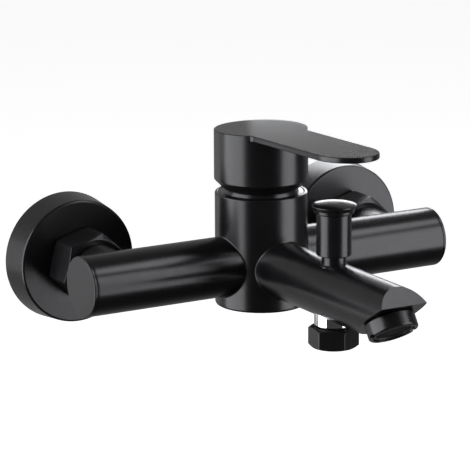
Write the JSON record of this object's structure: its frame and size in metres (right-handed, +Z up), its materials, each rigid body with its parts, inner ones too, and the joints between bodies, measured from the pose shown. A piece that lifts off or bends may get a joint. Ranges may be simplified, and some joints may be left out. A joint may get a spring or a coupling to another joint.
{
  "type": "wall mounted bath faucet",
  "caption": "Wall mounted bath and shower mixer: upright body with cross arms, flat top lever, straight spout with pull diverter, aerator and hex shower outlet.",
  "frame": {"origin": "on the wall surface, midway between the two water inlets, level with the cross arms' axis", "axes": "+X along the wall to the right as seen from the room, +Y into the wall, +Z up; the spout and the lever point to -Y"},
  "size_m": [0.212, 0.1991, 0.0983],
  "materials": {
    "satin_black": "satin black coating on brass and zinc",
    "brass": "machined",
    "steel": "machined",
    "chrome": "polished",
    "rubber": "moulded",
    "ceramic": "lapped alumina",
    "plastic": "moulded",
    "dark_plastic": "moulded, dark grey"
  },
  "bodies": {
    "mixer": {"aerator_gasket": "rubber", "aerator_housing": "satin_black", "aerator_insert": "dark_plastic", "arm_plug_left": "satin_black", "arm_plug_right": "satin_black", "base_seal_cold": "rubber", "base_seal_hot": "rubber", "base_seal_mixed": "rubber", "body_casting": "satin_black", "bonnet_dome": "satin_black", "cartridge_base": "plastic", "cartridge_housing": "plastic", "cartridge_nut": "brass", "check_valve": "plastic", "diverter_gland": "satin_black", "diverter_spring": "steel", "escutcheon_left": "satin_black", "escutcheon_right": "satin_black", "fixed_disc": "ceramic", "gland_o_ring": "rubber", "inlet_nipple_left": "brass", "inlet_nipple_right": "brass", "outlet_collar": "chrome", "s_union_left": "brass", "s_union_right": "brass", "shower_outlet": "satin_black", "union_gasket_left": "rubber", "union_gasket_right": "rubber", "union_nut_left": "satin_black", "union_nut_right": "satin_black"},
    "turning": {"cartridge_driver": "plastic", "pivot_pin": "steel"},
    "lever": {"cartridge_stem": "brass", "handle": "satin_black", "handle_screw": "steel", "index_plug": "satin_black"},
    "disc": {"disc_carrier": "plastic", "moving_disc": "ceramic"},
    "diverter": {"diverter_knob": "satin_black", "diverter_sleeve": "satin_black", "diverter_rod": "steel", "valve_head": "brass", "valve_seal": "rubber", "valve_nut": "brass"}
  },
  "joints": [
    {"name": "temperature_turn", "type": "hinge", "parent": "mixer", "child": "turning", "pos_m": [0, -0.0593, 0.0272], "axis": [0, 0, 1], "range_deg": [-45, 45]},
    {"name": "lever_lift", "type": "hinge", "parent": "turning", "child": "lever", "pos_m": [0, -0.0593, 0.0272], "axis": [-1, 0, 0], "range_deg": [0, 16]},
    {"name": "disc_slide", "type": "slide", "parent": "turning", "child": "disc", "axis": [0, -1, 0], "range_m": [0, 0.0031]},
    {"name": "diverter_pull", "type": "slide", "parent": "mixer", "child": "diverter", "axis": [0, 0, 1], "range_m": [0, 0.005], "stiffness_N_per_m": 300, "springref_m": -0.005, "deforming": ["diverter_spring"]}
  ],
  "couplings": [
    {"joint": "disc_slide", "follows": "lever_lift", "m_per_rad": 0.011}
  ]
}
